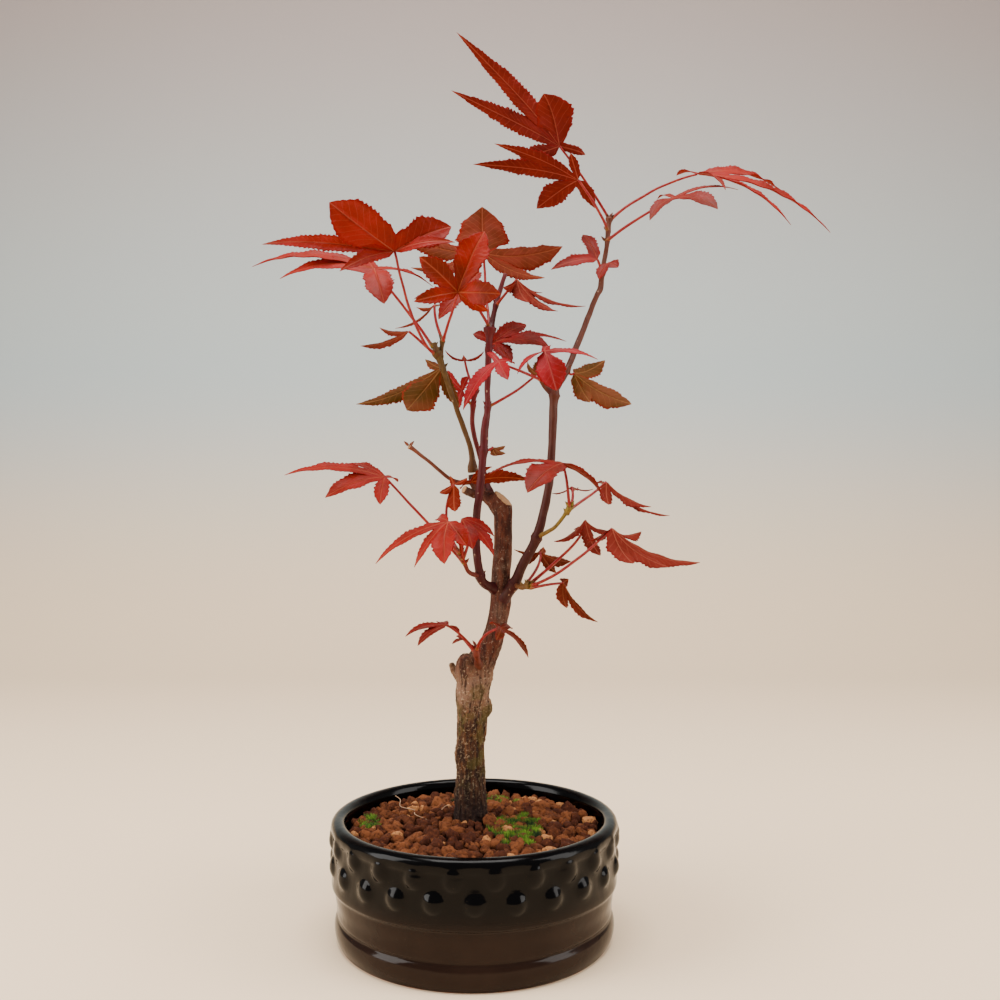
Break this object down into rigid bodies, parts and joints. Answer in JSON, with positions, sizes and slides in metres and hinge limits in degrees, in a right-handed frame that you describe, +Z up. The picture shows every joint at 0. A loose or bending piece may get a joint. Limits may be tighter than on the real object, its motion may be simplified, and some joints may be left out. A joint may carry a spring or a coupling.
{
  "type": "potted bonsai tree",
  "caption": "Red Japanese maple bonsai with a bare trunk and long lobed leaves, in a small round studded black pot.",
  "frame": {"origin": "centre of the pot's flat underside", "axes": "+Z up, the front of the tree faces -Y"},
  "size_m": [0.2723, 0.1322, 0.4192],
  "materials": {
    "black_glaze": "thick gloss black glaze, bare orange-brown clay at the foot",
    "drainage_mesh": "matt dark plastic mesh",
    "soil": "damp red-brown akadama granules",
    "moss": "bright green short moss",
    "bark": "rough grey-brown flaking bark, pale where cut",
    "green_shoot": "smooth olive-brown shoot",
    "red_shoot": "smooth dark red-brown shoot",
    "leaf_red": "satin deep red leaf",
    "leaf_pink": "satin pink-red leaf",
    "leaf_orange": "satin orange-red leaf",
    "leaf_olive": "satin olive-brown leaf with red margins"
  },
  "bodies": {
    "root": {"centre_shoot": "red_shoot", "dead_twig": "bark", "drainage_mesh": "drainage_mesh", "front_left_twig": "red_shoot", "inner_shoot": "red_shoot", "leaf_arm_orange": "leaf_orange", "leaf_behind_centre": "leaf_red", "leaf_centre_right": "leaf_red", "leaf_crown_right": "leaf_red", "leaf_crown_right_lower": "leaf_red", "leaf_crown_second": "leaf_red", "leaf_crown_top": "leaf_red", "leaf_fork_brown": "leaf_olive", "leaf_fork_pink": "leaf_pink", "leaf_front_centre": "leaf_orange", "leaf_front_left": "leaf_pink", "leaf_front_left_second": "leaf_red", "leaf_front_pink": "leaf_pink", "leaf_inner_pink": "leaf_pink", "leaf_inner_small": "leaf_red", "leaf_left_arching": "leaf_red", "leaf_left_inner": "leaf_red", "leaf_left_olive": "leaf_olive", "leaf_left_top": "leaf_red", "leaf_left_upper": "leaf_red", "leaf_low_left": "leaf_red", "leaf_low_right": "leaf_red", "leaf_low_tiny": "leaf_red", "leaf_mid_left": "leaf_red", "leaf_mid_right_far": "leaf_red", "leaf_mid_right_small": "leaf_red", "leaf_mid_right_top": "leaf_red", "leaf_node_left": "leaf_red", "leaf_node_right": "leaf_red", "leaf_right_long": "leaf_red", "leaf_right_low_inner": "leaf_red", "leaf_right_low_upper": "leaf_red", "leaf_right_lowest": "leaf_red", "leaf_right_of_stub": "leaf_red", "leaf_right_olive": "leaf_olive", "leaf_small_orange": "leaf_orange", "leaf_tiny_centre": "leaf_olive", "leaf_top_centre": "leaf_red", "left_shoot": "green_shoot", "low_bud": "red_shoot", "lower_right_twig": "red_shoot", "moss_back": "moss", "moss_front": "moss", "moss_left": "moss", "pot": "black_glaze", "right_shoot": "red_shoot", "soil": "soil", "trunk": "bark", "upper_right_twig": "green_shoot"}
  },
  "joints": []
}
